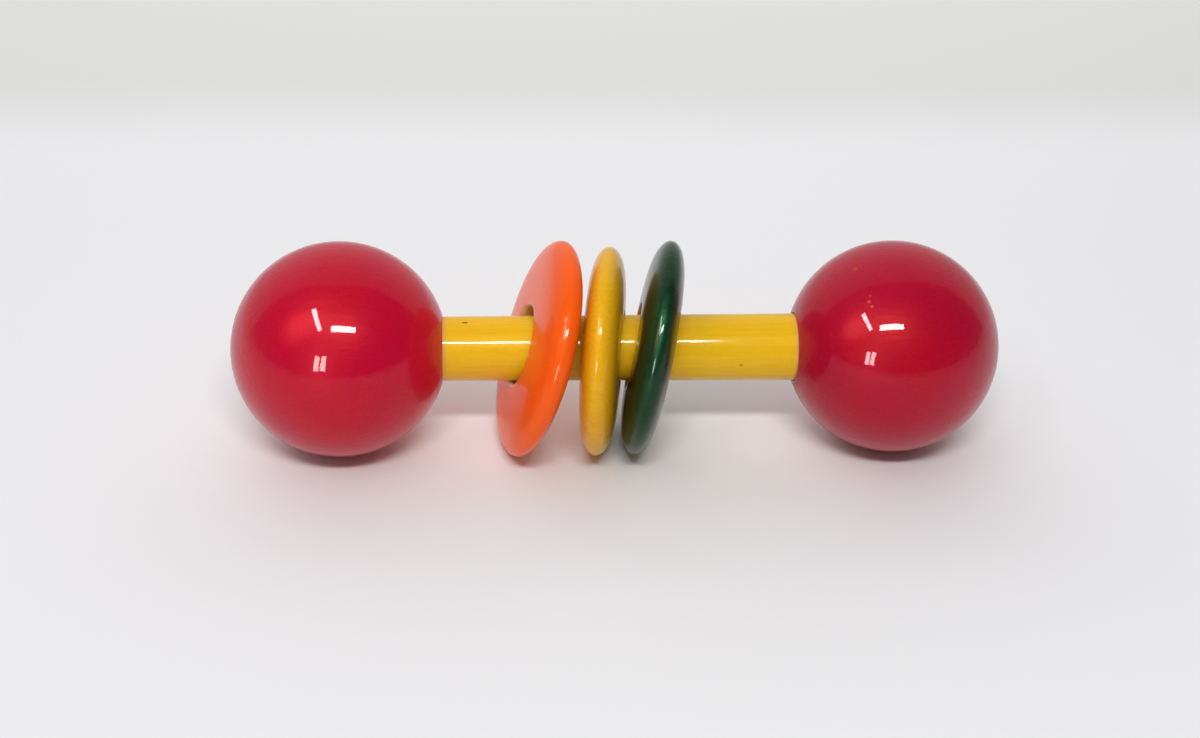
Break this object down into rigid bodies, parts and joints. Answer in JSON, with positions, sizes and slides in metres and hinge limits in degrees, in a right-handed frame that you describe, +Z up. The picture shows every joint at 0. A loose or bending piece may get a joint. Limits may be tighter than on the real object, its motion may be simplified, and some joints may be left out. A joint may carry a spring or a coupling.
{
  "type": "wooden rattle",
  "caption": "Dumbbell baby rattle of lacquered turned wood: a rod with a ball at each end and loose discs that slide along it and clack.",
  "frame": {"origin": "on the table top under the middle of the rattle as it lies", "axes": "+X along the rod towards the right ball, +Z up, the picture's viewer on the -Y side"},
  "size_m": [0.13, 0.0373, 0.0365],
  "materials": {
    "crimson_lacquer": "glossy crimson lacquer over turned wood",
    "yellow_lacquer": "glossy clear yellow lacquer, grain showing",
    "orange_lacquer": "glossy orange lacquer over turned wood",
    "green_lacquer": "glossy dark green lacquer over turned wood"
  },
  "bodies": {
    "handle": {"rod": "yellow_lacquer", "left_ball": "crimson_lacquer", "right_ball": "crimson_lacquer"},
    "orange": {"orange_disc": "orange_lacquer"},
    "yellow": {"yellow_disc": "yellow_lacquer"},
    "green": {"green_disc": "green_lacquer"}
  },
  "joints": [
    {"name": "orange_slide", "type": "slide", "parent": "handle", "child": "orange", "axis": [1, 0, 0], "range_m": [-0.0108, 0.0064]},
    {"name": "yellow_slide", "type": "slide", "parent": "orange", "child": "yellow", "axis": [1, 0, 0], "range_m": [-0.00055, 0.0064]},
    {"name": "green_slide", "type": "slide", "parent": "yellow", "child": "green", "axis": [1, 0, 0], "range_m": [-0.00045, 0.0064]}
  ]
}
